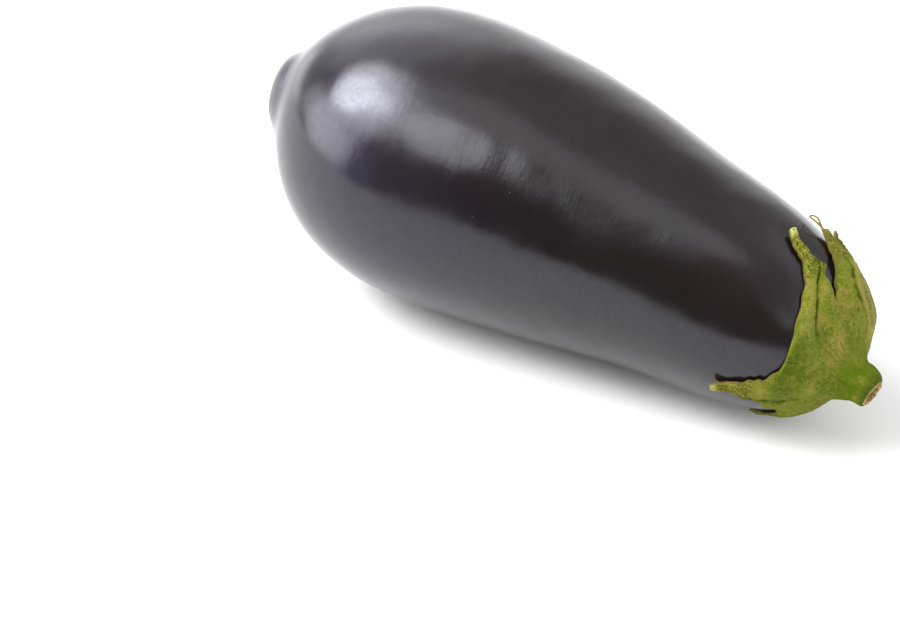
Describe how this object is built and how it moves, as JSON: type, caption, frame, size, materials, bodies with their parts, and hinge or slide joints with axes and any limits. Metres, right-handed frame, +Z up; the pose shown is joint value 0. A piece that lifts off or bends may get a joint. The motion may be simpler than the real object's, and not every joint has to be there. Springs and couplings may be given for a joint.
{
  "type": "eggplant",
  "caption": "Whole dark purple eggplant lying on its side, with a green calyx cap of pointed lobes and a short cut stalk.",
  "frame": {"origin": "centre of the whole object's outline seen from above, on the surface it rests on", "axes": "+Z up; +X along the fruit from the blossom end to the stalk; +Y away from the side that bows inwards"},
  "size_m": [0.1992, 0.0866, 0.0856],
  "materials": {
    "skin": "glossy waxy skin, near-black purple",
    "calyx_green": "matt fleshy green, mottled, with tan ridges and a corky cut end"
  },
  "bodies": {
    "root": {"fruit": "skin", "calyx": "calyx_green"}
  },
  "joints": []
}
